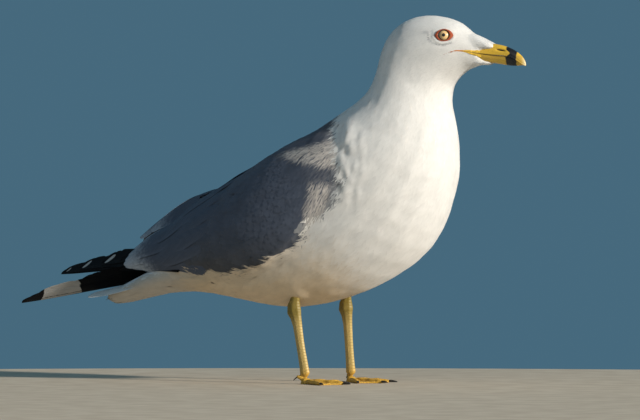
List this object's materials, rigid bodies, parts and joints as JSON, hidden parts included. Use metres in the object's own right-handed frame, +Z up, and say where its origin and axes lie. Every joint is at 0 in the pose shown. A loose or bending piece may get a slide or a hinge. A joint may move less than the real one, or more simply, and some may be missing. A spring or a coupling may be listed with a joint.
{
  "type": "standing ring-billed gull",
  "caption": "Life-size still model of a ring-billed gull that stands on flat webbed feet, head up, bill level, wings folded with their tips crossed over the tail.",
  "frame": {"origin": "middle of the bounding box in plan, on the floor that the feet stand on", "axes": "+X is the way the bill points, +Y the bird's left, +Z up"},
  "size_m": [0.4432, 0.1152, 0.2937],
  "materials": {
    "white_plumage": "soft white contour feathers",
    "grey_plumage": "smooth mid-grey mantle and wing coverts",
    "black_plumage": "black flight feathers with white tips",
    "bill_horn": "satin yellow horn with a black ring near the tip",
    "orbit_skin": "bare orange-red skin round the eye",
    "eye_glass": "clear gloss over a pale yellow iris and a black pupil",
    "leg_skin": "satin yellow scaled skin",
    "claw_horn": "satin black horn"
  },
  "bodies": {
    "root": {"bill_lower": "bill_horn", "bill_upper": "bill_horn", "claw_hind_left": "claw_horn", "claw_hind_right": "claw_horn", "claw_inner_left": "claw_horn", "claw_inner_right": "claw_horn", "claw_middle_left": "claw_horn", "claw_middle_right": "claw_horn", "claw_outer_left": "claw_horn", "claw_outer_right": "claw_horn", "eye_left": "eye_glass", "eye_right": "eye_glass", "eye_ring_left": "orbit_skin", "eye_ring_right": "orbit_skin", "foot_left": "leg_skin", "foot_right": "leg_skin", "head": "white_plumage", "neck": "white_plumage", "primaries_left": "black_plumage", "primaries_right": "black_plumage", "shank_left": "leg_skin", "shank_right": "leg_skin", "tail": "white_plumage", "tail_feathers": "white_plumage", "tertials_left": "grey_plumage", "tertials_right": "grey_plumage", "thigh_left": "white_plumage", "thigh_right": "white_plumage", "trunk": "white_plumage", "wing_left": "grey_plumage", "wing_right": "grey_plumage"}
  },
  "joints": []
}
